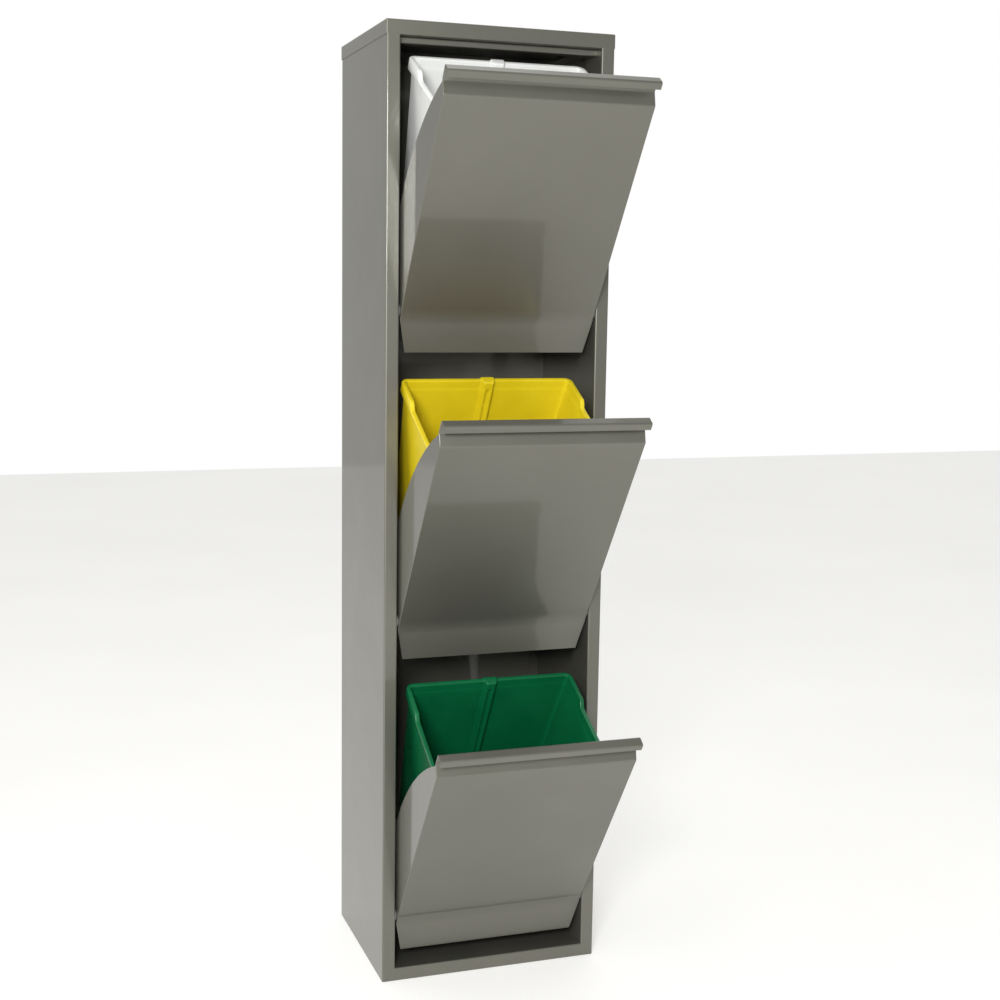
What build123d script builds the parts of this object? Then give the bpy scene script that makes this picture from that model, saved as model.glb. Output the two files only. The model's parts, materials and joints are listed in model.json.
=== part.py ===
from build123d import *
from math import asin, cos, degrees, radians, sin, sqrt, tan
import os

# A slim recycling tower: a folded sheet-steel cabinet with three tilting doors, one above
# the other, each carrying a loose plastic bin.
# Millimetres. The origin is the centre of the footprint on the floor, the front faces -Y
# and +Z is up. The doors are modelled tilted open, resting on their open stops.

os.makedirs("parts", exist_ok=True)

# --- cabinet ---
width = 320.0
depth = 246.0
height = 1305.0
sheet = 1.2
bend = 2.0  # radius of a fold, on the side that is drawn
cap_height = 19.0
cap_overhang = 1.0  # past the sides and the back of the body
cap_lip = 34.0
post_face = 18.5
post_margin = 12.0  # of a post's return behind the slots for the stops
rear_flange = 15.0
base_height = 18.0
base_lip = 12.0
rail_setback = 17.5
rail_drop = 8.5
rail_foot = 17.5
rail_top = 26.0
rail_tab = 30.0
back_flange = 24.0
back_flange_gap = 1.0
back_inset = 0.5  # of the back panel's edges from the outside of the sides
wall_hole_radius = 4.0
wall_hole_spacing = 160.0
wall_hole_drop = 75.0  # below the top of the cabinet

# --- doors ---
levels = ["bottom", "middle", "top"]
first_pivot_height = 93.5
door_head_gap = 1.9  # above the top door's grip when it is closed
door_spacing = 69.4  # from a closed door's grip up to the pivot above it
open_angle = 34.5
side_gap = 2.2
pivot_setback = 10.0  # behind the closed door's face
kick_top = -3.5  # heights on a door are counted from its pivot
kick_length = 49.1
kick_flare = 19.5
kick_mitre = 10.3
kick_bend = 60.0
recess_depth = 12.5
recess_bend = 4.0
grip_rise = 32.6  # from the top of the face to the top of the grip
grip_overhang = 1.0
grip_drop = 10.0
flange_cover = 40.0  # of the flange behind the stop pin in it
flange_foot = -14.0
flange_foot_radius = 12.0
flange_arc_drop = 210.0  # from the top of the face to where the flange's curve starts
flange_arc_radius = 375.0
door_edge_radius = 1.0

# --- pivots and stops ---
pin_radius = 4.0
pin_head_radius = 7.0
pin_head = 2.0
pin_tail = 2.5
running_clearance = 0.05
washer_radius = 9.0
washer_clearance = 0.3
clip_radius = 7.5
clip_thickness = 1.0
clip_clearance = 0.5
stop_reach = 34.0  # from the pivot to the stop pin
stop_radius = 3.5
stop_head_radius = 6.0
stop_head = 1.5
stop_clearance = 0.3
stop_tip = 1.3

# --- bin cradle ---
cradle_top = -10.0
cradle_tab_cover = 30.0  # of the door's flange behind which a side tab starts
cradle_tab_height = 20.0
cradle_lip = 14.0
cradle_bin_gap = 0.5  # between the bin and the cradle's front and rear lips

# --- fasteners ---
rivet_radius = 2.0
rivet_head_radius = 3.6
rivet_head = 1.0
rivet_tail_radius = 2.8
rivet_tail = 1.2
cradle_rivet_insets = [22.0, 8.0]  # from the rear edge of the door's flange
cradle_rivet_height = -1.0
back_rivet_count = 6
back_rivet_end = 70.0
rail_rivet_setbacks = [10.0, 22.0]
screw_radius = 2.0
screw_head_radius = 4.0
screw_head = 2.4
screw_tail = 3.0
screw_spacing = 180.0
screw_setback = 14.0

# --- bins ---
bin_side_gap = 14.3  # between a centred bin and the door's flanges
bin_recess_gap = 0.8  # so that the bin slides up past the finger recess
bin_rear_gap = 43.0  # to the back panel when the door is closed
bin_rim_drop = 49.9  # from the top of the door's face to the rear of the rim
bin_rim_rise = 6.6  # angle of the rim, which climbs towards the door
bin_step_setback = 57.0  # from the rear of the rim to the step in its sides
bin_step_run = 9.0
bin_step_drop = 9.5
bin_rim_lip = 4.0
bin_rim_thickness = 2.0
bin_skirt = 15.0  # at the rear
bin_skirt_thickness = 1.6
bin_wall = 2.2
bin_floor = 2.5
bin_seat_gap = 0.3
bin_corner_radius = 7.0
bin_side_draft = 4.5
bin_rear_draft = 5.0
bin_front_draft = 1.0
bin_rib_width = 20.0
bin_rib_depth = 8.0
bin_tab_rise = 2.5
bin_offsets = {"bottom": -1.5, "middle": -11.5, "top": -4.0}

# --- worked out ---
half_body = width / 2 - cap_overhang
half_opening = half_body - post_face
half_door = half_opening - side_gap
front = -depth / 2
rear = depth / 2 - cap_overhang
body_height = height - cap_height
post_return = pivot_setback + stop_reach + post_margin
hole_depth = 3 * sheet  # clears two sheets
door_span = body_height - door_head_gap - first_pivot_height + door_spacing
door_pitch = door_span / len(levels)
grip_top = door_pitch - door_spacing
face_top = grip_top - grip_rise
flange_straight_top = face_top - flange_arc_drop
flange_depth = pivot_setback + stop_reach + flange_cover
cradle_tab_start = flange_depth - cradle_tab_cover
cradle_rivet_setbacks = [flange_depth - inset for inset in cradle_rivet_insets]
pivot_y = front + pivot_setback
swing = radians(open_angle)
kick_run = kick_length * sin(radians(kick_flare))
kick_foot = kick_top - kick_length * cos(radians(kick_flare))
bin_width = 2 * (half_door - sheet - bin_side_gap)
bin_front = recess_depth + sheet + bin_recess_gap
bin_rear = depth - cap_overhang - sheet - bin_rear_gap  # behind the door's face
bin_rim_height = face_top - bin_rim_drop
pivot_heights = {name: first_pivot_height + i * door_pitch for i, name in enumerate(levels)}


def save(part, name):
    part.label = name
    export_step(part, f"parts/{name}.step")


def side_view(x, pivot_height):
    # looking across a door: local X runs back from its face and local Y up it
    foot = (
        x,
        pivot_y - pivot_setback * cos(swing),
        pivot_height - pivot_setback * sin(swing),
    )
    return Plane(origin=foot, x_dir=(0, cos(swing), sin(swing)), z_dir=(1, 0, 0))


def front_view(pivot_height):
    # looking at a door's face: local X runs right and local Y up it
    face = side_view(0, pivot_height)
    return Plane(origin=face.origin, x_dir=(1, 0, 0), z_dir=-face.x_dir)


def plan_view(level, pivot_height):
    # looking down a door from a height on it: local X runs right and local Y back
    face = side_view(0, pivot_height)
    origin = face.origin + face.y_dir * level
    return Plane(origin=origin, x_dir=(1, 0, 0), z_dir=face.y_dir)


def pivot_plane(x, pivot_height):
    # across the cabinet at a pivot: local X runs back and local Y up
    return Plane(origin=(x, pivot_y, pivot_height), x_dir=(0, 1, 0), z_dir=(1, 0, 0))


# --- sides: post face, inner return, side panel and rear flange in one folded sheet ---

def make_side(hand):
    # hand is -1 for the left side and 1 for the right side
    edge = half_opening * hand
    panel = half_body * hand
    flange_face = rear - sheet
    fold = bend + sheet
    with BuildPart() as side:
        with BuildSketch():
            with BuildLine():
                FilletPolyline(
                    (edge, front + post_return),
                    (edge, front),
                    (panel, front),
                    (panel, flange_face),
                    (panel - rear_flange * hand, flange_face),
                    radius=bend,
                )
                offset(amount=sheet, side=Side.RIGHT if hand < 0 else Side.LEFT)
            make_face()
        extrude(amount=body_height)
        # beside the base the return is cut away and the post's face runs on flat to meet it
        with BuildSketch():
            with Locations((edge + fold * hand / 2, front + post_return / 2)):
                Rectangle(fold, post_return + 2 * sheet)
        extrude(amount=base_height, mode=Mode.SUBTRACT)
        with BuildSketch():
            with Locations((edge + fold * hand / 2, front + sheet / 2)):
                Rectangle(fold, sheet)
        extrude(amount=base_height)
        for pivot_height in pivot_heights.values():
            with BuildSketch(pivot_plane(edge, pivot_height)):
                Circle(pin_radius)
                with BuildLine(mode=Mode.PRIVATE):
                    path = CenterArc(
                        (0, 0),
                        stop_reach,
                        -degrees(stop_clearance / stop_reach),
                        open_angle + 2 * degrees(stop_clearance / stop_reach),
                    )
                SlotArc(path, 2 * (stop_radius + stop_clearance))
            extrude(amount=hole_depth * hand, mode=Mode.SUBTRACT)
        with BuildSketch(Plane(origin=(edge, front + rail_setback, body_height),
                               x_dir=(0, 1, 0), z_dir=(1, 0, 0))):
            with Locations(*[(setback, -rail_drop / 2) for setback in rail_rivet_setbacks]):
                Circle(rivet_radius)
        extrude(amount=hole_depth * hand, mode=Mode.SUBTRACT)
        with BuildSketch(Plane(origin=(0, rear, 0), x_dir=(1, 0, 0), z_dir=(0, -1, 0))):
            with Locations(*back_rivet_spots(hand)):
                Circle(rivet_radius)
        extrude(amount=hole_depth, mode=Mode.SUBTRACT)
    return side.part


def back_rivet_spots(hand):
    step = (body_height - 2 * back_rivet_end) / (back_rivet_count - 1)
    across = (half_body - rear_flange / 2) * hand
    return [(across, back_rivet_end + i * step) for i in range(back_rivet_count)]


# --- back panel: a flat sheet with a forward flange at its top ---

def make_back_panel():
    flange_half = half_body - rear_flange - back_flange_gap
    with BuildPart() as back:
        with BuildSketch(Plane(origin=(0, rear, 0), x_dir=(1, 0, 0), z_dir=(0, -1, 0))):
            with Locations((0, body_height / 2)):
                Rectangle(2 * (half_body - back_inset), body_height)
            with Locations(*back_rivet_spots(-1), *back_rivet_spots(1)):
                Circle(rivet_radius, mode=Mode.SUBTRACT)
            with Locations((0, height - wall_hole_drop)):
                with GridLocations(wall_hole_spacing, 1, 2, 1):
                    Circle(wall_hole_radius, mode=Mode.SUBTRACT)
        extrude(amount=sheet)
        with BuildSketch(Plane.XY.offset(body_height)):
            with Locations((0, rear - back_flange / 2)):
                Rectangle(2 * flange_half, back_flange)
            with Locations((0, rear - screw_setback)):
                with GridLocations(screw_spacing, 1, 2, 1):
                    Circle(screw_radius, mode=Mode.SUBTRACT)
        extrude(amount=-sheet)
    return back.part


# --- base: the cabinet's floor, a shallow tray turned over, notched round the posts ---

def base_outline():
    inner = half_body - sheet
    return [
        (-half_opening, front),
        (half_opening, front),
        (half_opening, front + post_return),
        (inner, front + post_return),
        (inner, rear - 2 * sheet),
        (-inner, rear - 2 * sheet),
        (-inner, front + post_return),
        (-half_opening, front + post_return),
    ]


def make_base_pan():
    with BuildPart() as base:
        with BuildSketch():
            with BuildLine():
                Polyline(*base_outline(), close=True)
            make_face()
        extrude(amount=base_height)
        fillet(base.edges().filter_by(Axis.Z).group_by(Axis.Y)[-1], bend)
        fold = base.edges().filter_by(Axis.X).group_by(Axis.Y)[0].sort_by(Axis.Z)[-1]
        fillet(fold, bend)
        offset(amount=-sheet, openings=base.faces().sort_by(Axis.Z)[0], kind=Kind.INTERSECTION)
        with BuildSketch() as hem:
            with BuildLine():
                Polyline(*base_outline(), close=True)
            make_face()
            fillet(hem.vertices().group_by(Axis.Y)[-1], bend)
            offset(amount=-base_lip, kind=Kind.INTERSECTION, mode=Mode.SUBTRACT)
        extrude(amount=sheet)
    return base.part


# --- cap: a shallow lid with a skirt, and an inward lip that lies on the body ---

def make_top_cap():
    with BuildPart() as cap:
        with BuildSketch(Plane.XY.offset(body_height)):
            Rectangle(width, depth)
        extrude(amount=cap_height)
        fillet(cap.edges().filter_by(Axis.Z), bend)
        fillet(cap.faces().sort_by(Axis.Z)[-1].edges(), bend)
        offset(amount=-sheet, openings=cap.faces().sort_by(Axis.Z)[0])
        with BuildSketch(Plane.XY.offset(body_height)):
            RectangleRounded(width, depth, bend)
            Rectangle(width - 2 * cap_lip, depth - 2 * cap_lip, mode=Mode.SUBTRACT)
            with Locations(*screw_spots()):
                Circle(screw_radius, mode=Mode.SUBTRACT)
        extrude(amount=sheet)
    return cap.part


def screw_spots():
    rail_row = front + rail_setback + screw_setback
    back_row = rear - screw_setback
    return [(side * screw_spacing / 2, row) for row in (rail_row, back_row) for side in (-1, 1)]


# --- rail: a narrow channel between the posts, set back under the cap ---

def make_top_rail():
    face = front + rail_setback
    foot = body_height - rail_drop
    across = Plane(origin=(-half_opening, 0, 0), x_dir=(0, 1, 0), z_dir=(1, 0, 0))
    with BuildPart() as rail:
        with BuildSketch(across):
            with BuildLine():
                FilletPolyline(
                    (face + rail_foot, foot),
                    (face, foot),
                    (face, body_height),
                    (face + rail_top, body_height),
                    radius=bend,
                )
                offset(amount=sheet, side=Side.RIGHT)
            make_face()
        extrude(amount=2 * half_opening)
        for start, way in ((-half_opening, sheet), (half_opening, -sheet)):
            with BuildSketch(Plane(origin=(start, face, body_height), x_dir=(0, 1, 0), z_dir=(1, 0, 0))):
                with Locations((bend, -rail_drop)):
                    Rectangle(rail_tab - bend, rail_drop, align=(Align.MIN, Align.MIN))
                with Locations(*[(setback, -rail_drop / 2) for setback in rail_rivet_setbacks]):
                    Circle(rivet_radius, mode=Mode.SUBTRACT)
            extrude(amount=way)
        with BuildSketch(Plane.XY.offset(body_height)):
            with Locations(*screw_spots()[:2]):
                Circle(screw_radius)
        extrude(amount=-sheet, mode=Mode.SUBTRACT)
    return rail.part


# --- fasteners: each is a shaft with a head at one end and a closed tail at the other ---

def turned_piece(start, way, steps):
    # a round piece along an axis; steps are (length, radius) from the start onwards
    with BuildPart() as piece:
        travelled = 0.0
        for length, radius in steps:
            plane = Plane(origin=Vector(*start) + Vector(*way) * travelled, z_dir=way)
            with BuildSketch(plane):
                Circle(radius)
            extrude(amount=length)
            travelled += length
    return piece.part


def group(pieces):
    return Compound(children=pieces)


def make_back_rivets():
    steps = [(rivet_head, rivet_head_radius), (2 * sheet, rivet_radius), (rivet_tail, rivet_tail_radius)]
    spots = back_rivet_spots(-1) + back_rivet_spots(1)
    return group([turned_piece((x, rear + rivet_head, z), (0, -1, 0), steps) for x, z in spots])


def make_rail_rivets():
    steps = [(rivet_tail, rivet_tail_radius), (2 * sheet, rivet_radius), (rivet_tail, rivet_tail_radius)]
    start = half_opening - sheet - rivet_tail
    face = front + rail_setback
    level = body_height - rail_drop / 2
    return group([
        turned_piece((hand * start, face + setback, level), (hand, 0, 0), steps)
        for hand in (-1, 1)
        for setback in rail_rivet_setbacks
    ])


def make_cap_screws():
    steps = [(screw_head, screw_head_radius), (2 * sheet + screw_tail, screw_radius)]
    start = body_height - sheet - screw_head
    return group([turned_piece((x, y, start), (0, 0, 1), steps) for x, y in screw_spots()])


# --- pivots: a headed pin in each post return, a washer in the gap and a clip inside ---

def make_pivot_pins(pivot_height):
    shaft = sheet + side_gap + sheet + clip_clearance + clip_thickness + pin_tail
    steps = [(pin_head, pin_head_radius), (shaft, pin_radius)]
    start = half_opening + sheet + pin_head
    return group([
        turned_piece((hand * start, pivot_y, pivot_height), (-hand, 0, 0), steps)
        for hand in (-1, 1)
    ])


def make_ring(start, way, thickness, radius):
    with BuildPart() as ring:
        with BuildSketch(Plane(origin=start, z_dir=way)):
            Circle(radius)
            Circle(pin_radius, mode=Mode.SUBTRACT)
        extrude(amount=thickness)
    return ring.part


def make_pivot_washers(pivot_height):
    thickness = side_gap - washer_clearance
    return group([
        make_ring((hand * half_opening, pivot_y, pivot_height), (-hand, 0, 0), thickness, washer_radius)
        for hand in (-1, 1)
    ])


def make_pivot_clips(pivot_height):
    start = half_door - sheet - clip_clearance
    return group([
        make_ring((hand * start, pivot_y, pivot_height), (-hand, 0, 0), clip_thickness, clip_radius)
        for hand in (-1, 1)
    ])


# --- doors: one folded sheet from the kick strip to the grip, with two curved flanges ---

def make_door_panel(pivot_height):
    middle = sheet / 2
    arc_centre = flange_depth - flange_arc_radius
    recess_back = recess_depth + middle
    arc_top = flange_straight_top + sqrt(flange_arc_radius**2 - (recess_back - arc_centre) ** 2)
    arc_turn = degrees(asin((arc_top - flange_straight_top) / flange_arc_radius))
    with BuildPart() as panel:
        with BuildSketch(side_view(-half_door, pivot_height)):
            with BuildLine():
                FilletPolyline(
                    (-kick_run, kick_foot),
                    (0, kick_top),
                    (0, face_top),
                    (recess_depth, face_top + recess_depth),
                    (recess_depth, grip_top - sheet),
                    (sheet - grip_overhang, grip_top - sheet),
                    (sheet - grip_overhang, grip_top - grip_drop),
                    radius=(kick_bend, recess_bend, recess_bend, bend, bend),
                )
                offset(amount=sheet, side=Side.RIGHT)
            make_face()
        extrude(amount=2 * half_door)
        with BuildSketch(front_view(pivot_height)):
            for hand in (-1, 1):
                with BuildLine():
                    Polyline(
                        (hand * half_door, kick_top - bend),
                        (hand * (half_door + 1), kick_foot - 1),
                        (hand * (half_door - kick_mitre), kick_foot - 1),
                        close=True,
                    )
                make_face()
        extrude(amount=kick_length, both=True, mode=Mode.SUBTRACT)
        for start, way in ((-half_door, sheet), (half_door, -sheet)):
            with BuildSketch(side_view(start, pivot_height)):
                with BuildLine():
                    FilletPolyline(
                        (middle, kick_top),
                        (middle - flange_foot / 2, flange_foot),
                        (flange_depth, flange_foot),
                        (flange_depth, flange_straight_top),
                        radius=flange_foot_radius,
                    )
                    CenterArc((arc_centre, flange_straight_top), flange_arc_radius, 0, arc_turn)
                    Polyline(
                        (recess_back, arc_top),
                        (recess_back, face_top + recess_depth - middle),
                        (middle, face_top - middle),
                        (middle, kick_top),
                    )
                make_face()
                with Locations((pivot_setback, 0)):
                    Circle(pin_radius + running_clearance, mode=Mode.SUBTRACT)
                with Locations((pivot_setback + stop_reach, 0)):
                    Circle(stop_radius, mode=Mode.SUBTRACT)
                with Locations(*[(setback, cradle_rivet_height) for setback in cradle_rivet_setbacks]):
                    Circle(rivet_radius, mode=Mode.SUBTRACT)
            extrude(amount=way)
        upright = Axis((0, 0, 0), tuple(front_view(pivot_height).y_dir))
        corners = [
            edge
            for edge in panel.edges().filter_by(upright)
            if edge.length > face_top / 2 and abs(edge.center().X) > half_door - sheet / 2
        ]
        fillet(corners, door_edge_radius)
    return panel.part


def make_stop_pins(pivot_height):
    shaft = sheet + side_gap + sheet + stop_tip
    steps = [(stop_head, stop_head_radius), (shaft, stop_radius)]
    start = half_door - sheet - stop_head
    spot = pivot_plane(0, pivot_height).origin
    y = spot.Y + stop_reach * cos(swing)
    z = spot.Z + stop_reach * sin(swing)
    return group([turned_piece((hand * start, y, z), (hand, 0, 0), steps) for hand in (-1, 1)])


# --- bin cradle: a shelf between a door's flanges, folded up all round the bin's foot ---

def make_bin_cradle(pivot_height):
    half_shelf = half_door - sheet
    across, length, middle, corner = tub_outline(cradle_top - sheet + cradle_lip, 0)
    cradle_front = middle - length / 2 - cradle_bin_gap - sheet
    cradle_rear = middle + length / 2 + cradle_bin_gap + sheet
    with BuildPart() as cradle:
        with BuildSketch(side_view(-half_shelf, pivot_height)):
            with BuildLine():
                FilletPolyline(
                    (cradle_front, cradle_top - sheet + cradle_lip),
                    (cradle_front, cradle_top - sheet),
                    (cradle_rear, cradle_top - sheet),
                    (cradle_rear, cradle_top - sheet + cradle_lip),
                    radius=bend,
                )
                offset(amount=sheet, side=Side.LEFT)
            make_face()
        extrude(amount=2 * half_shelf)
        for start, way in ((-half_shelf, sheet), (half_shelf, -sheet)):
            with BuildSketch(side_view(start, pivot_height)):
                with Locations((cradle_tab_start, cradle_top - sheet)):
                    Rectangle(
                        cradle_rear - bend - cradle_tab_start,
                        cradle_tab_height,
                        align=(Align.MIN, Align.MIN),
                    )
                with Locations(*[(setback, cradle_rivet_height) for setback in cradle_rivet_setbacks]):
                    Circle(rivet_radius, mode=Mode.SUBTRACT)
            extrude(amount=way)
    return cradle.part


def make_cradle_rivets(pivot_height):
    steps = [(rivet_tail, rivet_tail_radius), (2 * sheet, rivet_radius), (rivet_head, rivet_head_radius)]
    start = half_door - 2 * sheet - rivet_tail
    view = side_view(0, pivot_height)
    spots = [view.from_local_coords((setback, cradle_rivet_height, 0)) for setback in cradle_rivet_setbacks]
    return group([
        turned_piece((hand * start, spot.Y, spot.Z), (hand, 0, 0), steps)
        for hand in (-1, 1)
        for spot in spots
    ])


# --- bins: a drafted tub with a stepped, skirted rim and a rib inside its rear wall ---

def rim_line():
    # the top of a bin's rim in side view, from its front to its rear
    slope = tan(radians(bin_rim_rise))
    step = bin_rear - bin_step_setback
    step_top = bin_rim_height + bin_step_setback * slope
    step_foot = step_top - bin_step_drop
    front_top = step_foot + (step - bin_step_run - bin_front) * slope
    return [
        (bin_front, front_top),
        (step - bin_step_run, step_foot),
        (step, step_top),
        (bin_rear, bin_rim_height),
    ]


def hem_line():
    # the lower edge of a bin's skirt, which runs on straight where the rim steps down
    rise = (bin_rear - bin_front) * tan(radians(bin_rim_rise))
    return [
        (bin_front, bin_rim_height + rise - bin_skirt),
        (bin_rear, bin_rim_height - bin_skirt),
    ]


def rim_band(pivot_height, top_line, lower_line, outer_inset, inner_inset):
    # the part of the rim between two plan outlines and two lines in side view
    middle = (bin_front + bin_rear) / 2
    length = bin_rear - bin_front
    corner = bin_corner_radius + bin_rim_lip
    with BuildPart() as band:
        with BuildSketch(plan_view(0, pivot_height)):
            with Locations((0, middle)):
                RectangleRounded(
                    bin_width - 2 * outer_inset, length - 2 * outer_inset, corner - outer_inset
                )
                RectangleRounded(
                    bin_width - 2 * inner_inset,
                    length - 2 * inner_inset,
                    corner - inner_inset,
                    mode=Mode.SUBTRACT,
                )
        extrude(amount=2 * bin_rim_height)
        with BuildSketch(side_view(-bin_width, pivot_height)):
            with BuildLine():
                Polyline(*top_line, *reversed(lower_line), close=True)
            make_face()
        extrude(amount=2 * bin_width, mode=Mode.INTERSECT)
    return band.part


def tub_outline(level, inset):
    # width, length, middle and corner radius of the tub in plan at a height on the door
    below = bin_rim_height - level
    side = bin_width / 2 - bin_rim_lip - inset - below * tan(radians(bin_side_draft))
    start = bin_front + bin_rim_lip + inset + below * tan(radians(bin_front_draft))
    end = bin_rear - bin_rim_lip - inset - below * tan(radians(bin_rear_draft))
    return 2 * side, end - start, (start + end) / 2, bin_corner_radius - inset


def make_bin(pivot_height, offset_x):
    foot = cradle_top + bin_seat_gap
    floor = foot + bin_floor
    line = rim_line()
    over = max(level for _, level in line) + bin_tab_rise
    under = [(setback, level - bin_rim_thickness) for setback, level in line]
    flange = rim_band(pivot_height, line, under, 0, bin_rim_lip + bin_wall)
    skirt = rim_band(pivot_height, line, hem_line(), 0, bin_skirt_thickness)
    rib_top = bin_rear - bin_rim_lip - bin_wall
    rib_foot = rib_top - (bin_rim_height - floor) * tan(radians(bin_rear_draft))
    with BuildPart() as tub:
        for level in (foot, over):
            across, length, middle, corner = tub_outline(level, 0)
            with BuildSketch(plan_view(level, pivot_height)):
                with Locations((0, middle)):
                    RectangleRounded(across, length, corner)
        loft()
        for level in (floor, over + bin_tab_rise):
            across, length, middle, corner = tub_outline(level, bin_wall)
            with BuildSketch(plan_view(level, pivot_height)):
                with Locations((0, middle)):
                    RectangleRounded(across, length, corner)
        loft(mode=Mode.SUBTRACT)
        with BuildSketch(side_view(-bin_width, pivot_height)):
            with BuildLine():
                Polyline((0, line[0][1]), *line, (bin_rear, 2 * over), (0, 2 * over), close=True)
            make_face()
        extrude(amount=2 * bin_width, mode=Mode.SUBTRACT)
        add(flange)
        add(skirt)
        with BuildSketch(side_view(-bin_rib_width / 2, pivot_height)):
            with BuildLine():
                Polyline(
                    (rib_foot - bin_rib_depth, floor - bin_floor / 2),
                    (rib_foot + bin_wall / 2, floor - bin_floor / 2),
                    (rib_top + bin_wall / 2, bin_rim_height - bin_rim_thickness),
                    (bin_rear, bin_rim_height - bin_rim_thickness),
                    (bin_rear, bin_rim_height + bin_tab_rise),
                    (rib_top - bin_rib_depth, bin_rim_height + bin_tab_rise),
                    close=True,
                )
            make_face()
        extrude(amount=bin_rib_width)
    return Pos(offset_x, 0, 0) * tub.part


# --- the whole tower ---

save(make_side(-1), "left_side")
save(make_side(1), "right_side")
save(make_back_panel(), "back_panel")
save(make_base_pan(), "base_pan")
save(make_top_cap(), "top_cap")
save(make_top_rail(), "top_rail")
save(make_back_rivets(), "back_rivets")
save(make_rail_rivets(), "rail_rivets")
save(make_cap_screws(), "cap_screws")

for level, pivot_height in pivot_heights.items():
    save(make_pivot_pins(pivot_height), f"{level}_pivot_pins")
    save(make_pivot_washers(pivot_height), f"{level}_pivot_washers")
    save(make_pivot_clips(pivot_height), f"{level}_pivot_clips")
    save(make_door_panel(pivot_height), f"{level}_door_panel")
    save(make_stop_pins(pivot_height), f"{level}_stop_pins")
    save(make_bin_cradle(pivot_height), f"{level}_bin_cradle")
    save(make_cradle_rivets(pivot_height), f"{level}_cradle_rivets")
    save(make_bin(pivot_height, bin_offsets[level]), f"{level}_bin")
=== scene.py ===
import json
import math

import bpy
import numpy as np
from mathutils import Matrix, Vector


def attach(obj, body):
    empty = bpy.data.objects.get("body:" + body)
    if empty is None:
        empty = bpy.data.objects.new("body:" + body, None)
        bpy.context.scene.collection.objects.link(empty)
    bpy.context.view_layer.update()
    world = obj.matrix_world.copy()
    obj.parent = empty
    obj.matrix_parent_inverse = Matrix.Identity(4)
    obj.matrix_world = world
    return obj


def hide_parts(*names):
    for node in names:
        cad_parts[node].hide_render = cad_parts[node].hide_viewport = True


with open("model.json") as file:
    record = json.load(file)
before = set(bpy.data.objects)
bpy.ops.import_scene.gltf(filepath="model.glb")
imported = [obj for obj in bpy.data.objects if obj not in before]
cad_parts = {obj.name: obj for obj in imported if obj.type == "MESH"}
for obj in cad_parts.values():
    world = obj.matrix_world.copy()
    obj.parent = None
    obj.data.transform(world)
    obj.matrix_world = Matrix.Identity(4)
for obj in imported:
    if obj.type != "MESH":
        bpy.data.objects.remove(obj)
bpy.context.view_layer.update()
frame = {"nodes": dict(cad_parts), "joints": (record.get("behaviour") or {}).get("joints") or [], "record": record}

# %% [markdown]
# # A slim recycling tower
#
# The tower is a folded sheet-steel cabinet with three doors, one above the other. Each door
# tilts forward about two pins near its foot and carries a loose plastic bin. The steel comes
# ready made in the frame, so this lesson gives it its lacquer, moulds the three bins as
# surfaces worked out with numpy, and sets up a small studio.
#
# Lengths are in metres. The origin is the centre of the cabinet's footprint, the doors face
# -Y and +Z is up.

mm = 0.001
levels = ("bottom", "middle", "top")

# %% [markdown]
# ## Where each door stands
#
# A bin leans with its door, so it is simplest to model it in the door's own directions: how
# far behind the door's face a point is, and how far up the door from the pivot. They could be
# measured on the door's mesh, but the joints already give the pivot and the angle of the open
# door, and they stay right if the door is changed.

# %% Door directions from the joints
joints = {joint["name"]: joint for joint in frame["joints"]}
pivot_setback = 10.0 * mm


def door_frame(level):
    """The pivot of a door and the unit vectors that run back from its face and up it."""
    tilt = joints[f"{level}_door_tilt"]
    angle = -math.radians(tilt["range_deg"][0])
    back = np.array([0.0, math.cos(angle), math.sin(angle)])
    up = np.array([0.0, -math.sin(angle), math.cos(angle)])
    return np.array(tilt["pos_m"]), back, up


def on_door(level, across, behind, height):
    """Points from three arrays: across the door, behind its face and up it from the pivot."""
    pivot, back, up = door_frame(level)
    right = np.array([1.0, 0.0, 0.0])
    return (
        pivot
        + across[..., None] * right
        + (behind - pivot_setback)[..., None] * back
        + height[..., None] * up
    )


for level in levels:
    print(level, "pivot", door_frame(level)[0])

# %% [markdown]
# ## From a grid of points to a mesh
#
# Most moulded things can be written as rings: the same number of points in each, one ring
# after another along a profile. A lathe or a loft would draw them too, but a grid of our own
# says exactly where each wall lies. It becomes a mesh with one rule, that each four neighbours
# make a face, and the two ends are closed with a fan to their middle point.

# %% Points and faces to an object


def mesh_object(name, points, faces, smooth=True):
    mesh = bpy.data.meshes.new(name)
    mesh.from_pydata(points.tolist(), [], faces)
    mesh.polygons.foreach_set("use_smooth", np.full(len(mesh.polygons), smooth))
    mesh.update()
    piece = bpy.data.objects.new(name, mesh)
    bpy.context.scene.collection.objects.link(piece)
    print("made", name, len(mesh.polygons), "faces")
    return piece


# %% Rings to a closed skin


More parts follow.
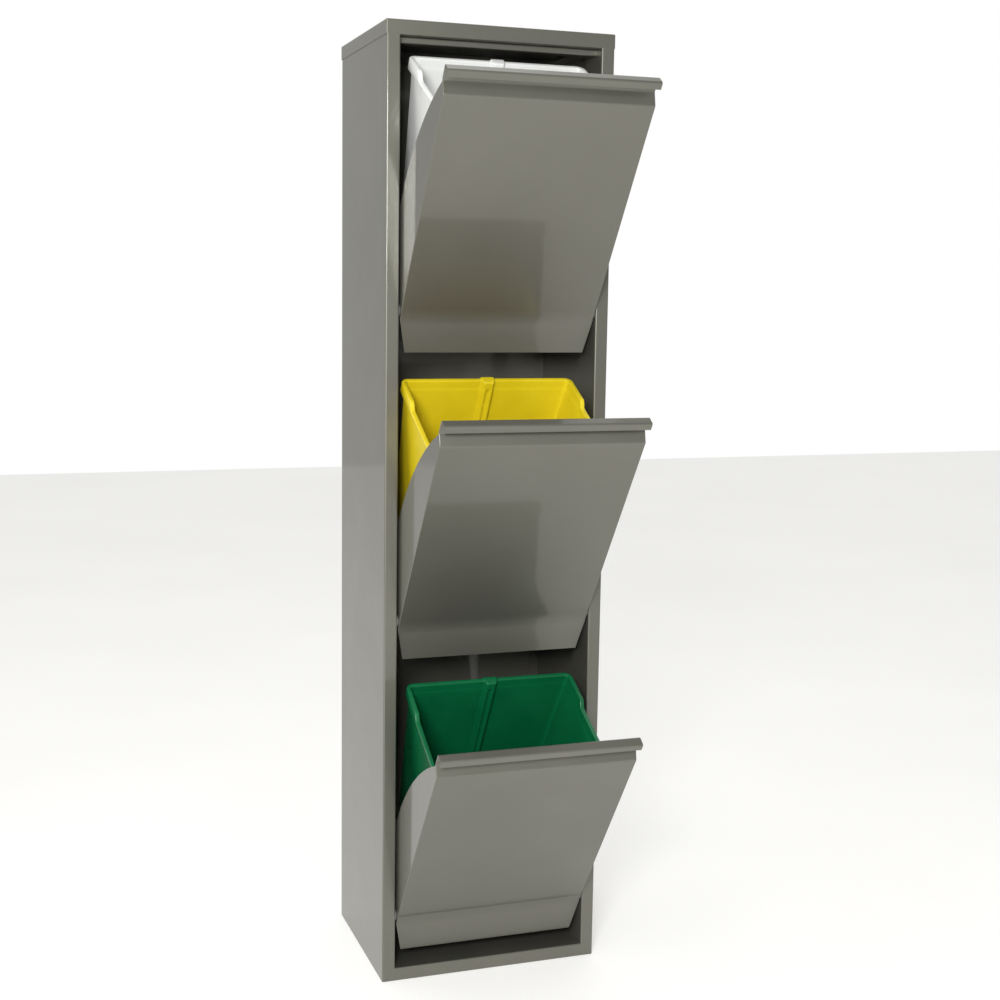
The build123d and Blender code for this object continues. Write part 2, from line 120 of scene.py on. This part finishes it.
def rings_to_mesh(name, rings):
    """A closed skin over rings of points, an array of rings x points x 3.

    Each four neighbours i, i+1 along a ring and j, j+1 along the profile make a face, the
    rings wrap round, and a fan to the middle of the first and last ring closes the ends. The
    sum of the products p . (q x r) over the faces is six times the volume inside, and when it
    comes out negative the faces point inwards and are turned over.
    """
    count, around = rings.shape[:2]
    points = np.concatenate([rings.reshape(-1, 3), rings[:1].mean(1), rings[-1:].mean(1)])
    j, i = np.meshgrid(np.arange(count - 1), np.arange(around), indexing="ij")
    following = (i + 1) % around
    quads = np.stack([j * around + i, j * around + following, (j + 1) * around + following,
                      (j + 1) * around + i], -1).reshape(-1, 4)
    k = np.arange(around)
    first_middle, last_middle = count * around, count * around + 1
    start_fan = np.stack([(k + 1) % around, k, np.full(around, first_middle)], -1)
    last_ring = (count - 1) * around
    end_fan = np.stack([last_ring + k, last_ring + (k + 1) % around, np.full(around, last_middle)], -1)
    faces = quads.tolist() + start_fan.tolist() + end_fan.tolist()
    a, b, c, d = (points[quads[:, corner]] for corner in range(4))
    volume = (np.einsum("ij,ij->i", a, np.cross(b, c)) + np.einsum("ij,ij->i", a, np.cross(c, d))).sum()
    if volume < 0:
        faces = [face[::-1] for face in faces]
    return mesh_object(name, points, faces)


# %% [markdown]
# ## The bins
#
# A bin is injection moulded, so every wall leans a little for it to leave the mould. In plan
# it is a rounded rectangle at every height. The rim climbs towards the door, its sides step
# down in front of the rear corners, and it is turned outwards and down into a skirt that stands
# clear of the wall. The skirt's lower edge runs on straight, so it is deepest behind the step.
# Inside, a small ledge runs round below the rim and a grooved rib stiffens the rear wall.
#
# A box with thick walls and a few cuts would be quick, but it has neither the lean nor the
# soft edges. One skin, carried along a profile, has both. The profile starts in the middle of
# the floor, climbs the inside, goes over the rim, round the skirt and down the outside.

# %% Bin sizes
bin_half_width = 122.8 * mm
bin_front, bin_rear = 14.5 * mm, 200.8 * mm
foot_height = -9.7 * mm
wall, floor_thickness = 2.2 * mm, 2.5 * mm
outer_corner, smallest_corner = 11.0 * mm, 2.0 * mm
floor_fillet, bottom_lift = 7.0 * mm, 1.5 * mm
side_draft, rear_draft, front_draft = (math.tan(math.radians(angle)) for angle in (4.5, 5.0, 1.0))
bin_shift = {"bottom": -1.5 * mm, "middle": -11.5 * mm, "top": -4.0 * mm}
print("bin is", round(2 * bin_half_width / mm, 1), "mm wide")
print("and", round((bin_rear - bin_front) / mm, 1), "mm deep")

# %% Rim, skirt, ledge and rib sizes
rim_height, rim_rise = 268.1 * mm, math.tan(math.radians(6.6))
step_setback, step_run, step_drop = 57.0 * mm, 9.0 * mm, 9.5 * mm
rim_lip, rim_thickness, rim_edge = 4.0 * mm, 2.0 * mm, 0.6 * mm
rim_crown = 0.1 * mm
rim_skirt, skirt_thickness, skirt_edge = 15.0 * mm, 1.6 * mm, 0.3 * mm
ledge_depth, ledge_width, ledge_blend = 13.0 * mm, 0.45 * mm, 2.4 * mm
wall_end = 1.35 * ledge_depth
rib_half_width, rib_depth = 10.0 * mm, 7.0 * mm
tab_half_width, tab_rise = 9.2 * mm, 2.3 * mm
print("rim rises", round((bin_rear - bin_front) * rim_rise / mm, 1), "mm from rear to front")

# %% [markdown]
# ### Round the bin
#
# Every ring needs the same number of samples, whatever its size, and the rear wall needs more
# of them than the others, because the rib is only 20 mm wide. So the samples are stored without
# a size: a corner each, and a share of the way along the straight between two corners.

# %% A rounded rectangle as three arrays


def around_bin(corner_steps=10, side_steps=40, rib_steps=41, rib_share=0.14, clear_of_rib=0.15):
    """Samples round a rounded rectangle, as a, b and theta.

    A sample lies at x = a (W - r) + r cos(theta), y = b (L - r) + r sin(theta), where W and
    L are half the width and length and r the corner radius, so that one set of samples
    serves every size. The rear wall has extra samples where the rib is.
    """
    plain = np.linspace(-1, 1, side_steps, endpoint=False)[1:]
    rib = np.linspace(-rib_share, rib_share, rib_steps)
    rear = np.unique(np.concatenate([plain[np.abs(plain) > clear_of_rib], rib]))
    turn = np.linspace(0, 1, corner_steps + 1)
    quarter = math.pi / 2
    parts = []
    for k, (a, b) in enumerate(((1, 1), (-1, 1), (-1, -1), (1, -1))):
        share = rear if k == 0 else plain
        still = np.ones_like(share)
        run = (-a * share, b * still) if k in (0, 2) else (a * still, -b * share)
        parts.append(np.stack([np.full_like(turn, a), np.full_like(turn, b), (k + turn) * quarter]))
        parts.append(np.stack([*run, (k + 1) * quarter * still]))
    return np.concatenate(parts, axis=1)


samples = around_bin()
on_rear_wall = (samples[1] > 0.999) & (np.abs(samples[2] - math.pi / 2) < 1e-6)
print("samples round a bin", samples.shape[1], "and on its rear wall", on_rear_wall.sum())

# %% [markdown]
# ### The rim's line, its step and the rib
#
# The rim is one height for each sample, not one height for each ring, so the step and the tab
# are written as formulas of where the sample lies. A smooth step, 3x^2 - 2x^3, gives both their
# soft shoulders, and the rib's flanks too.

# %% A smooth step and the rim's height


def smooth_step(x):
    """0 below 0, 1 above 1 and 3x^2 - 2x^3 between."""
    x = np.clip(x, 0.0, 1.0)
    return x * x * (3.0 - 2.0 * x)


def rim_line(behind):
    """The straight line the rim climbs along, from the rear towards the door."""
    return rim_height + (bin_rear - behind) * rim_rise


def rim_top(behind, across_share, on_rear):
    """Height of the rim: its line, less the step past the rear corners, plus the tab."""
    step = smooth_step((bin_rear - behind - step_setback) / step_run)
    reach = tab_half_width / (bin_half_width - outer_corner)
    tab_shoulder = 0.012
    tab = on_rear * smooth_step((reach - np.abs(across_share)) / tab_shoulder + 0.5)
    return rim_line(behind) - step * step_drop + tab * tab_rise


print("rim height at the rear and the front", round(rim_line(bin_rear), 4), round(rim_line(bin_front), 4))

# %% The rib on the rear wall


def rib_shape(across_share, on_rear, groove_share):
    """How far the rear wall stands in at the rib: a flat-topped ridge, grooved lower down.

    With x the distance from the middle as a share of half the rib's width, the ridge is
    smooth_step((1 - x) / 0.4) and the groove 0.36 smooth_step((0.34 - x) / 0.2).
    """
    half = rib_half_width / (bin_half_width - outer_corner)
    x = np.abs(across_share) / half
    ridge = smooth_step((1.0 - x) / 0.4)
    groove = 0.36 * smooth_step((0.34 - x) / 0.2)
    return on_rear * rib_depth * (ridge - groove * groove_share)


print("rib stands in by", rib_shape(np.array([0.0, 0.05, 0.1]), 1.0, 0.0) / mm, "mm")

# %% [markdown]
# ### One ring
#
# A ring is the rounded rectangle at its height, drawn in from the rim's outer edge by an inset.
# The skirt stands upright, and from the lip inwards it is all wall, which leans.

# %% A ring at an inset and a height


def ring(inset, height, scale=1.0, rib=0.0, groove=0.0):
    """A ring of the bin in door directions: across, behind and height, one value a sample.

    Half the width is bin_half_width - inset, less draft x depth below the rim on the walls,
    and the front and rear are drawn in the same way. scale shrinks the ring to its middle,
    for the floor, and rib and groove say how much of the rib it shows.
    """
    a, b, theta = samples
    drop = rim_height - height
    leans = inset >= rim_lip * 0.99
    side = bin_half_width - inset - np.where(leans, drop * side_draft, 0.0)
    front = bin_front + inset + np.where(leans, drop * front_draft, 0.0)
    rear = bin_rear - inset - np.where(leans, drop * rear_draft, 0.0)
    corner = np.maximum(outer_corner - inset, smallest_corner)
    half_length = (rear - front) / 2
    middle = (rear + front) / 2
    across = (a * (side - corner) + corner * np.cos(theta)) * scale
    behind = middle + (b * (half_length - corner) + corner * np.sin(theta)) * scale
    behind = behind - rib * rib_shape(a, on_rear_wall, groove)
    return across, behind, height * np.ones_like(a)


rim_across, rim_behind, _ = ring(0.0, rim_height)
rim = rim_top(rim_behind, samples[0], on_rear_wall)
hem = rim_line(rim_behind) - rim_skirt
print("rim from", round(rim.min(), 4), "to", round(rim.max(), 4), "and hem from", round(hem.min(), 4))

# %% [markdown]
# ### The whole profile
#
# The skin is four stretches of rings: the inside up to the ledge, the rim and its top, the
# skirt down and up again, and the outside down to the foot. Where the profile turns, a few
# rings spread over a quarter circle make the edge round.

# %% The inside, from the floor to the ledge
inner, outer = rim_lip + wall, rim_lip


def inside_rings():
    """Floor, fillet and wall: an arc of the fillet's radius, then even shares of the height."""
    floor = foot_height + floor_thickness
    rings = [ring(inner + floor_fillet, floor, scale) for scale in (0.05, 0.35, 0.7, 0.9)]
    for angle in np.radians([0, 22.5, 45, 67.5, 90]):
        inset = inner + floor_fillet * (1 - math.sin(angle))
        rings.append(ring(inset, floor + floor_fillet * (1 - math.cos(angle)), rib=math.sin(angle)))
    level = floor + floor_fillet
    below_ledge = rim - wall_end
    for share in np.linspace(0.04, 1.0, 24):
        rings.append(ring(inner, level + share * (below_ledge - level), rib=1.0, groove=1.0))
    return rings


# %% The ledge, the rim's top and its outer edge


def rim_rings():
    """The wall steps out by the ledge, then the rim turns over with round edges."""
    rings = []
    for share in np.linspace(0.0, 1.0, 5):
        settled = float(smooth_step(share))
        below = ledge_depth + ledge_blend - 2 * ledge_blend * share
        rings.append(ring(inner - ledge_width * settled, rim - below, rib=1.0, groove=1.0 - settled))
    mouth = inner - ledge_width
    for share in (0.7, 0.4, 0.2):
        rings.append(ring(mouth, rim - ledge_depth * share, rib=1.0))
    for angle in np.radians([0, 30, 60, 90]):
        inset = mouth - rim_edge * (1 - math.cos(angle))
        rings.append(ring(inset, rim - rim_edge * (1 - math.sin(angle)), rib=1.0 - 0.2 * angle))
    for share, rib in ((0.25, 0.5), (0.5, 0.2), (0.75, 0.0)):
        rings.append(ring(mouth + (rim_edge - mouth) * share, rim + rim_crown, rib=rib))
    for angle in np.radians([0, 30, 60, 90]):
        rings.append(ring(rim_edge * (1 - math.sin(angle)), rim - rim_edge * (1 - math.cos(angle))))
    return rings


# %% The skirt, down its outside and up its inside


def skirt_rings():
    """Down to the hem, across it and back up to the underside of the rim."""
    under = rim - rim_thickness
    profile = (
        (0.0, (rim + hem) / 2),
        (0.0, hem + skirt_edge),
        (skirt_edge, hem),
        (skirt_thickness - skirt_edge, hem),
        (skirt_thickness, hem + skirt_edge),
        (skirt_thickness, under - rim_edge),
        (skirt_thickness + 0.5 * mm, under),
        (outer - 0.4 * mm, under),
        (outer, under - rim_edge),
    )
    return [ring(inset, height) for inset, height in profile]


# %% The outside, from the rim to the foot


def outside_rings():
    """The wall in even shares, an arc at the foot, and a bottom set up a little inside it."""
    foot = foot_height + floor_fillet
    rings = []
    for share in np.linspace(0.97, 0.0, 22):
        settled = smooth_step((1.0 - share) / 0.12)
        rings.append(ring(outer, foot + share * (rim - rim_thickness - foot), rib=settled))
    for angle in np.radians([22.5, 45, 67.5, 90]):
        inset = outer + floor_fillet * (1 - math.cos(angle))
        rings.append(ring(inset, foot_height + floor_fillet * (1 - math.sin(angle)), rib=math.cos(angle)))
    for scale, lift in ((0.93, 0.0), (0.91, bottom_lift), (0.5, bottom_lift), (0.05, bottom_lift)):
        rings.append(ring(outer + floor_fillet, foot_height + lift, scale))
    return rings


# %% Three bins, each riding on its own body


def make_bin(level):
    rings = inside_rings() + rim_rings() + skirt_rings() + outside_rings()
    across, behind, height = (np.stack(values) for values in zip(*rings))
    points = on_door(level, across + bin_shift[level], behind, height)
    piece = rings_to_mesh(f"{level}_moulded_bin", points)
    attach(piece, f"{level}_bin")
    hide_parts(f"{level}_bin")
    return piece


bins = {level: make_bin(level) for level in levels}

# %% [markdown]
# ## Materials
#
# Nothing real has one flat colour. Each finish is a small node tree of procedural noise on
# Object coordinates, so the grain has the same size on every piece and nothing depends on an
# image. What is the same all over a surface is set on the shader itself.

# %% Node helpers


def new_material(name):
    material = bpy.data.materials.new(name)
    material.use_nodes = True
    tree = material.node_tree
    shader = next(node for node in tree.nodes if node.type == "BSDF_PRINCIPLED")
    print("finish", name)
    return material, tree, shader


def add(tree, kind, **settings):
    node = tree.nodes.new(kind)
    for key, value in settings.items():
        setattr(node, key, value)
    return node


def join(tree, operation, first, second):
    node = add(tree, "ShaderNodeMath", operation=operation)
    tree.links.new(first, node.inputs[0])
    tree.links.new(second, node.inputs[1])
    return node.outputs["Value"]


# %% Noise, colour ramps, ranges and grain


def noise(tree, scale, detail=4.0):
    place = add(tree, "ShaderNodeTexCoord")
    pattern = add(tree, "ShaderNodeTexNoise")
    pattern.inputs["Scale"].default_value = scale
    pattern.inputs["Detail"].default_value = detail
    pattern.inputs["Roughness"].default_value = 0.55
    tree.links.new(place.outputs["Object"], pattern.inputs["Vector"])
    return pattern.outputs["Fac"]


def ramp(tree, factor, stops):
    node = add(tree, "ShaderNodeValToRGB")
    elements = node.color_ramp.elements
    while len(elements) < len(stops):
        elements.new(0.5)
    for element, (position, colour) in zip(elements, stops):
        element.position = position
        element.color = (*colour, 1.0)
    tree.links.new(factor, node.inputs["Fac"])
    return node.outputs["Color"]


def map_range(tree, value, low, high, to_low, to_high):
    node = add(tree, "ShaderNodeMapRange")
    node.inputs["From Min"].default_value = low
    node.inputs["From Max"].default_value = high
    node.inputs["To Min"].default_value = to_low
    node.inputs["To Max"].default_value = to_high
    tree.links.new(value, node.inputs["Value"])
    return node.outputs["Result"]


def grain(tree, shader, height, strength, distance):
    node = add(tree, "ShaderNodeBump")
    node.inputs["Strength"].default_value = strength
    node.inputs["Distance"].default_value = distance
    tree.links.new(height, node.inputs["Height"])
    tree.links.new(node.outputs["Normal"], shader.inputs["Normal"])


# %% [markdown]
# ## Silver lacquer
#
# The sheet steel is sprayed with a grey lacquer that holds fine aluminium flakes, under a clear
# coat. Plain grey paint would look the same from everywhere, and bare metal would show the bins
# as in a mirror. So the shader is mostly metallic but rough, which is the flakes, and a thin
# smooth coat over it adds the faint sharp reflection that the doors have.

# %% Silver lacquer on steel


def silver_lacquer():
    material, tree, shader = new_material("silver_lacquer")
    flakes = noise(tree, 1500.0, detail=1.0)
    clouds = noise(tree, 4.0, detail=3.0)
    mixed = add(tree, "ShaderNodeMath", operation="MULTIPLY_ADD")
    tree.links.new(flakes, mixed.inputs[0])
    mixed.inputs[1].default_value = 0.40
    tree.links.new(clouds, mixed.inputs[2])
    colour = ramp(tree, mixed.outputs["Value"], [
        (0.40, (0.138, 0.136, 0.113)), (0.70, (0.152, 0.149, 0.124)), (1.00, (0.168, 0.164, 0.138))])
    tree.links.new(colour, shader.inputs["Base Color"])
    rough = map_range(tree, noise(tree, 9.0, detail=4.0), 0.3, 0.7, 0.45, 0.51)
    tree.links.new(rough, shader.inputs["Roughness"])
    shader.inputs["Metallic"].default_value = 0.75
    shader.inputs["Coat Weight"].default_value = 0.6
    shader.inputs["Coat Roughness"].default_value = 0.07
    grain(tree, shader, noise(tree, 260.0, detail=2.0), 0.02, 0.0002)
    return material


lacquer = silver_lacquer()

# %% [markdown]
# ## Plastics
#
# The bins are coloured right through, so a scratch or a thin place changes nothing, and one
# function serves them all: a slightly mottled colour, a roughness that drifts a little and a
# fine grain from the mould. The nylon washers get the same finish, but their light nylon is
# painted dull and dark as painted shade, because they sit in the shade of the gap between a
# door and a post.

# %% One function for every plastic


def moulded_plastic(name, deep, plain, light, roughness):
    material, tree, shader = new_material(name)
    colour = ramp(tree, noise(tree, 14.0, detail=5.0), [(0.30, deep), (0.52, plain), (0.72, light)])
    tree.links.new(colour, shader.inputs["Base Color"])
    rough = map_range(tree, noise(tree, 60.0, detail=4.0), 0.3, 0.7, roughness - 0.04, roughness + 0.05)
    tree.links.new(rough, shader.inputs["Roughness"])
    shader.inputs["IOR"].default_value = 1.49
    grain(tree, shader, noise(tree, 300.0, detail=2.0), 0.04, 0.0002)
    return material


white_plastic = moulded_plastic(
    "white_polypropylene", (0.66, 0.67, 0.65), (0.70, 0.71, 0.69), (0.73, 0.74, 0.72), 0.34)
yellow_plastic = moulded_plastic(
    "yellow_polypropylene", (0.59, 0.46, 0.008), (0.64, 0.50, 0.010), (0.68, 0.54, 0.014), 0.36)
green_plastic = moulded_plastic(
    "green_polypropylene", (0.001, 0.096, 0.032), (0.002, 0.112, 0.038), (0.003, 0.126, 0.044), 0.30)
# The washers' dark grey is painted shade: it stands in for the shade in the gap between a door and a post, not for
# the colour of nylon.
nylon = moulded_plastic(
    "nylon_painted_shade_dark", (0.07, 0.07, 0.065), (0.09, 0.09, 0.085), (0.11, 0.11, 0.10), 0.5)

# %% [markdown]
# ## Zinc plating
#
# Pins, clips, rivets and screws are zinc plated. Plating is bare metal, so the shader is fully
# metallic, and its faint crystals are the cells of a Voronoi texture, which noise can't give.

# %% Zinc on the fasteners


def plated_steel():
    material, tree, shader = new_material("zinc_plating")
    place = add(tree, "ShaderNodeTexCoord")
    crystals = add(tree, "ShaderNodeTexVoronoi")
    crystals.inputs["Scale"].default_value = 700.0
    tree.links.new(place.outputs["Object"], crystals.inputs["Vector"])
    colour = ramp(tree, crystals.outputs["Distance"], [
        (0.0, (0.50, 0.50, 0.51)), (0.6, (0.62, 0.62, 0.62))])
    tree.links.new(colour, shader.inputs["Base Color"])
    rough = map_range(tree, noise(tree, 200.0), 0.3, 0.7, 0.28, 0.42)
    tree.links.new(rough, shader.inputs["Roughness"])
    shader.inputs["Metallic"].default_value = 1.0
    return material


zinc = plated_steel()

# %% [markdown]
# ## Every piece gets its finish
#
# The record names a material slot for each node, so the finishes are handed out by slot and
# no node has to be named here. The moulded bins take the slot of the plain bin they replace.

# %% Finishes by slot
finishes = {
    "silver_paint": lacquer,
    "white_plastic": white_plastic,
    "yellow_plastic": yellow_plastic,
    "green_plastic": green_plastic,
    "plated_steel": zinc,
    "nylon": nylon,
}
slot_of = {part["node"]: part["material_slot"] for part in frame["record"]["subparts"]}
for node, piece in frame["nodes"].items():
    piece.data.materials.clear()
    piece.data.materials.append(finishes[slot_of[node]])
for level, piece in bins.items():
    piece.data.materials.append(finishes[slot_of[f"{level}_bin"]])
print(len(slot_of), "nodes and", len(bins), "bins have a finish")

# %% [markdown]
# ## Studio
#
# The tower stands on a plain white floor. Under an ordinary light such a floor turns grey away
# from the tower, so this one glows a little, like a light table. The surround is bright behind
# and dim in front, so the doors keep their shape. The key light stands in front and to the
# left, above the middle: the rims throw shadows into the bins, and the flakes in the lacquer
# shine more on the left posts than on the right ones.

# %% Floor


def make_floor(span=6.0, cells=8, below=0.5 * mm):
    """A flat square grid, x and y from -span to span, just below the tower's feet."""
    lines = np.linspace(-span, span, cells + 1)
    x, y = np.meshgrid(lines, lines)
    points = np.stack([x, y, np.full_like(x, -below)], -1).reshape(-1, 3)
    row = cells + 1
    j, i = np.meshgrid(np.arange(cells), np.arange(cells), indexing="ij")
    corner = (j * row + i).reshape(-1)
    faces = np.stack([corner, corner + 1, corner + row + 1, corner + row], -1).tolist()
    floor = mesh_object("studio_floor", points, faces, smooth=False)
    material, tree, shader = new_material("pale_floor")
    colour = ramp(tree, noise(tree, 1.5), [(0.3, (0.54, 0.54, 0.53)), (0.7, (0.58, 0.58, 0.57))])
    tree.links.new(colour, shader.inputs["Base Color"])
    shader.inputs["Roughness"].default_value = 0.8
    shader.inputs["Emission Color"].default_value = (1.0, 0.99, 0.96, 1.0)
    shader.inputs["Emission Strength"].default_value = 0.45
    floor.data.materials.append(material)


make_floor()

# %% Surround


def make_surround():
    """Bright behind the tower and on the left, dim in front, dimmest at the front right.

    The strength depends on the direction (x, y, z) alone: the brightest of a white wall
    behind, which fades towards its left, a dim front and a brighter far left.
    """
    world = bpy.data.worlds.new("pale_surround")
    bpy.context.scene.world = world
    world.use_nodes = True
    tree = world.node_tree
    background = tree.nodes["Background"]
    place = add(tree, "ShaderNodeTexCoord")
    split = add(tree, "ShaderNodeSeparateXYZ")
    tree.links.new(place.outputs["Generated"], split.inputs["Vector"])
    x, y = split.outputs["X"], split.outputs["Y"]
    white_wall = map_range(tree, y, -0.1, 0.5, 0.0, 1.0)
    fade = map_range(tree, x, -0.28, -0.02, 0.5, 1.0)
    behind = join(tree, "MULTIPLY", white_wall, fade)
    front = map_range(tree, x, 0.45, 0.20, 0.10, 0.40)
    left = map_range(tree, x, -0.35, -0.8, 0.40, 1.05)
    strength = join(tree, "MAXIMUM", join(tree, "MAXIMUM", front, left), behind)
    tree.links.new(strength, background.inputs["Strength"])
    background.inputs["Color"].default_value = (1.0, 1.0, 1.0, 1.0)
    print("surround made of", len(tree.nodes), "nodes")


make_surround()

# %% Soft lights


def soft_light(name, place, target, width, height, power):
    light = bpy.data.lights.new(name, "AREA")
    light.shape = "RECTANGLE"
    light.size, light.size_y = width, height
    light.energy = power
    lamp = bpy.data.objects.new(name, light)
    lamp.location = place
    lamp.rotation_mode = "QUATERNION"
    lamp.rotation_quaternion = (Vector(target) - Vector(place)).to_track_quat("-Z", "Y")
    bpy.context.scene.collection.objects.link(lamp)
    print(name, power, "W at", round((Vector(target) - Vector(place)).length, 2), "m")


tower_middle = (0.0, 0.0, 0.65)
soft_light("key_light", (-0.95, -2.05, 1.25), tower_middle, 0.5, 0.5, 52.0)
soft_light("top_light", (-0.3, 0.2, 3.2), tower_middle, 2.4, 2.4, 20.0)

# %% [markdown]
# ## Camera
#
# The camera stands in front and to the left, at about three quarters of the tower's height, and
# looks down a little. Its axes are built from yaw, pitch and roll one after another, which is
# easier to follow than Euler angles, and the small shift centres the tower.

# %% Camera
camera_place = Vector((-0.681, -2.046, 0.957))
yaw, pitch, roll = (math.radians(angle) for angle in (18.55, 7.95, 0.75))


def make_camera():
    data = bpy.data.cameras.new("studio_camera")
    data.sensor_width, data.lens = 36.0, 54.05
    data.shift_x, data.shift_y = 0.028, 0.003
    camera = bpy.data.objects.new("studio_camera", data)
    ahead = Vector((math.sin(yaw) * math.cos(pitch), math.cos(yaw) * math.cos(pitch), -math.sin(pitch)))
    level_right = Vector((math.cos(yaw), -math.sin(yaw), 0.0))
    level_up = level_right.cross(ahead)
    right = level_right * math.cos(roll) + level_up * math.sin(roll)
    up = level_up * math.cos(roll) - level_right * math.sin(roll)
    turn = Matrix((right, up, -ahead)).transposed().to_4x4()
    camera.matrix_world = Matrix.Translation(camera_place) @ turn
    bpy.context.scene.collection.objects.link(camera)
    bpy.context.scene.camera = camera
    print("camera at", camera_place[:], "with a", data.lens, "mm lens")


make_camera()
bpy.context.scene.view_settings.view_transform = "Standard"
